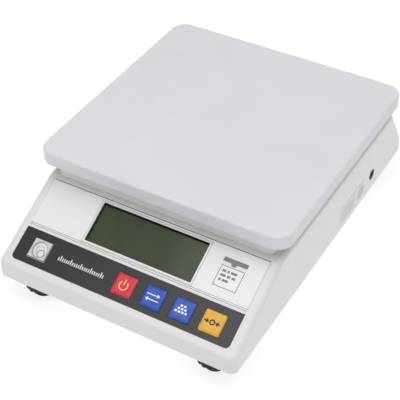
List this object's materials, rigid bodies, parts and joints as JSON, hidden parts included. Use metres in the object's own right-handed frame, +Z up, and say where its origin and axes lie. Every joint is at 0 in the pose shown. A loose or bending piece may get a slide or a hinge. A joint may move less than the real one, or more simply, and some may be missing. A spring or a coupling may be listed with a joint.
{
  "type": "counting scale",
  "caption": "Low desktop counting scale with a square lift-off pan, a sloping display panel with square keys and a spirit level, and levelling feet.",
  "frame": {"origin": "on the table, under the centre of the whole scale", "axes": "+Z up, +Y towards the back, +X to the right of a person facing the display"},
  "size_m": [0.1808, 0.2528, 0.0817],
  "materials": {
    "white_abs": "satin moulded ABS",
    "pan_abs": "fine-textured moulded ABS",
    "zinc_steel": "zinc plated",
    "black_steel": "black oxide",
    "light_print": "printed polycarbonate film",
    "dark_print": "printed polycarbonate film",
    "black_foam": "closed-cell foam",
    "clear_plastic": "clear acrylic",
    "display_cell": "dark olive reflective cell",
    "black_rubber": "matt rubber",
    "circuit_board": "green solder mask",
    "black_plastic": "moulded nylon",
    "silver_plastic": "silver-grey moulding",
    "machined_aluminium": "machined",
    "cast_aluminium": "as cast",
    "white_silicone": "silicone sealant",
    "battery_sleeve": "plain shrink sleeve",
    "nickel_steel": "nickel plated",
    "grey_cable": "PVC insulation",
    "black_cable": "PVC insulation",
    "silver_label": "printed foil label",
    "brass_insert": "plain",
    "key_red": "moulded key",
    "key_blue": "moulded key",
    "key_yellow": "moulded key"
  },
  "bodies": {
    "root": {"base_plate": "white_abs", "base_screws": "zinc_steel", "battery_cells": "battery_sleeve", "battery_contacts": "nickel_steel", "battery_leads": "black_cable", "board_components": "black_plastic", "board_screws": "zinc_steel", "buzzer": "black_plastic", "dc_jack": "black_plastic", "display_board": "circuit_board", "display_board_screws": "zinc_steel", "display_gasket": "black_foam", "display_sheet": "light_print", "display_window": "clear_plastic", "foot_inserts": "brass_insert", "jack_leads": "black_cable", "key_sheet": "dark_print", "key_switches": "black_plastic", "lcd_connectors": "black_rubber", "lcd_glass": "display_cell", "level_body": "silver_plastic", "level_clip": "black_plastic", "level_vial": "clear_plastic", "load_cell": "machined_aluminium", "load_cell_base_screws": "black_steel", "load_cell_block": "machined_aluminium", "load_cell_cable": "grey_cable", "main_board": "circuit_board", "overload_stops": "zinc_steel", "rating_label": "silver_label", "ribbon_cable": "grey_cable", "strain_gauges": "white_silicone", "upper_housing": "white_abs"},
    "platform": {"support_frame": "cast_aluminium", "frame_screws": "black_steel", "pan_bumpers": "black_rubber"},
    "pan": {"weighing_pan": "pan_abs"},
    "battery_cover": {"battery_door": "white_abs"},
    "key_power": {"key_cap_power": "key_red", "switch_plunger_power": "black_plastic"},
    "key_mode": {"key_cap_mode": "key_blue", "switch_plunger_mode": "black_plastic"},
    "key_pieces": {"key_cap_pieces": "key_blue", "switch_plunger_pieces": "black_plastic"},
    "key_tare": {"key_cap_tare": "key_yellow", "switch_plunger_tare": "black_plastic"},
    "pad_front_left": {"foot_pad_front_left": "black_rubber"},
    "wheel_front_left": {"foot_wheel_front_left": "black_plastic", "foot_stud_front_left": "zinc_steel"},
    "pad_front_right": {"foot_pad_front_right": "black_rubber"},
    "wheel_front_right": {"foot_wheel_front_right": "black_plastic", "foot_stud_front_right": "zinc_steel"},
    "pad_rear_left": {"foot_pad_rear_left": "black_rubber"},
    "wheel_rear_left": {"foot_wheel_rear_left": "black_plastic", "foot_stud_rear_left": "zinc_steel"},
    "pad_rear_right": {"foot_pad_rear_right": "black_rubber"},
    "wheel_rear_right": {"foot_wheel_rear_right": "black_plastic", "foot_stud_rear_right": "zinc_steel"}
  },
  "joints": [
    {"name": "weighing_deflection", "type": "slide", "parent": "root", "child": "platform", "axis": [0, 0, 1], "range_m": [-0.0006, 0], "stiffness_N_per_m": 120000, "springref_m": 0.00002, "deforming": ["load_cell"]},
    {"name": "pan_lift", "type": "slide", "parent": "platform", "child": "pan", "axis": [0, 0, 1], "range_m": [0, 0.06]},
    {"name": "battery_cover_removal", "type": "slide", "parent": "root", "child": "battery_cover", "axis": [0, 0, -1], "range_m": [0, 0.012]},
    {"name": "key_power_press", "type": "slide", "parent": "root", "child": "key_power", "axis": [0, 0.4566, -0.8897], "range_m": [0, 0.0006], "stiffness_N_per_m": 1500, "springref_m": -0.0002},
    {"name": "key_mode_press", "type": "slide", "parent": "root", "child": "key_mode", "axis": [0, 0.4566, -0.8897], "range_m": [0, 0.0006], "stiffness_N_per_m": 1500, "springref_m": -0.0002},
    {"name": "key_pieces_press", "type": "slide", "parent": "root", "child": "key_pieces", "axis": [0, 0.4566, -0.8897], "range_m": [0, 0.0006], "stiffness_N_per_m": 1500, "springref_m": -0.0002},
    {"name": "key_tare_press", "type": "slide", "parent": "root", "child": "key_tare", "axis": [0, 0.4566, -0.8897], "range_m": [0, 0.0006], "stiffness_N_per_m": 1500, "springref_m": -0.0002},
    {"name": "foot_front_left_travel", "type": "slide", "parent": "root", "child": "pad_front_left", "axis": [0, 0, -1], "range_m": [-0.003, 0.005]},
    {"name": "foot_front_left_turn", "type": "hinge", "parent": "pad_front_left", "child": "wheel_front_left", "pos_m": [-0.0649, -0.1092, 0.009], "axis": [0, 0, -1], "range_deg": [-1080, 1800]},
    {"name": "foot_front_right_travel", "type": "slide", "parent": "root", "child": "pad_front_right", "axis": [0, 0, -1], "range_m": [-0.003, 0.005]},
    {"name": "foot_front_right_turn", "type": "hinge", "parent": "pad_front_right", "child": "wheel_front_right", "pos_m": [0.0649, -0.1092, 0.009], "axis": [0, 0, -1], "range_deg": [-1080, 1800]},
    {"name": "foot_rear_left_travel", "type": "slide", "parent": "root", "child": "pad_rear_left", "axis": [0, 0, -1], "range_m": [-0.003, 0.005]},
    {"name": "foot_rear_left_turn", "type": "hinge", "parent": "pad_rear_left", "child": "wheel_rear_left", "pos_m": [-0.0649, 0.1092, 0.009], "axis": [0, 0, -1], "range_deg": [-1080, 1800]},
    {"name": "foot_rear_right_travel", "type": "slide", "parent": "root", "child": "pad_rear_right", "axis": [0, 0, -1], "range_m": [-0.003, 0.005]},
    {"name": "foot_rear_right_turn", "type": "hinge", "parent": "pad_rear_right", "child": "wheel_rear_right", "pos_m": [0.0649, 0.1092, 0.009], "axis": [0, 0, -1], "range_deg": [-1080, 1800]}
  ],
  "couplings": [
    {"joint": "foot_front_left_travel", "follows": "foot_front_left_turn", "m_per_rad": 0.00015915},
    {"joint": "foot_front_right_travel", "follows": "foot_front_right_turn", "m_per_rad": 0.00015915},
    {"joint": "foot_rear_left_travel", "follows": "foot_rear_left_turn", "m_per_rad": 0.00015915},
    {"joint": "foot_rear_right_travel", "follows": "foot_rear_right_turn", "m_per_rad": 0.00015915}
  ]
}
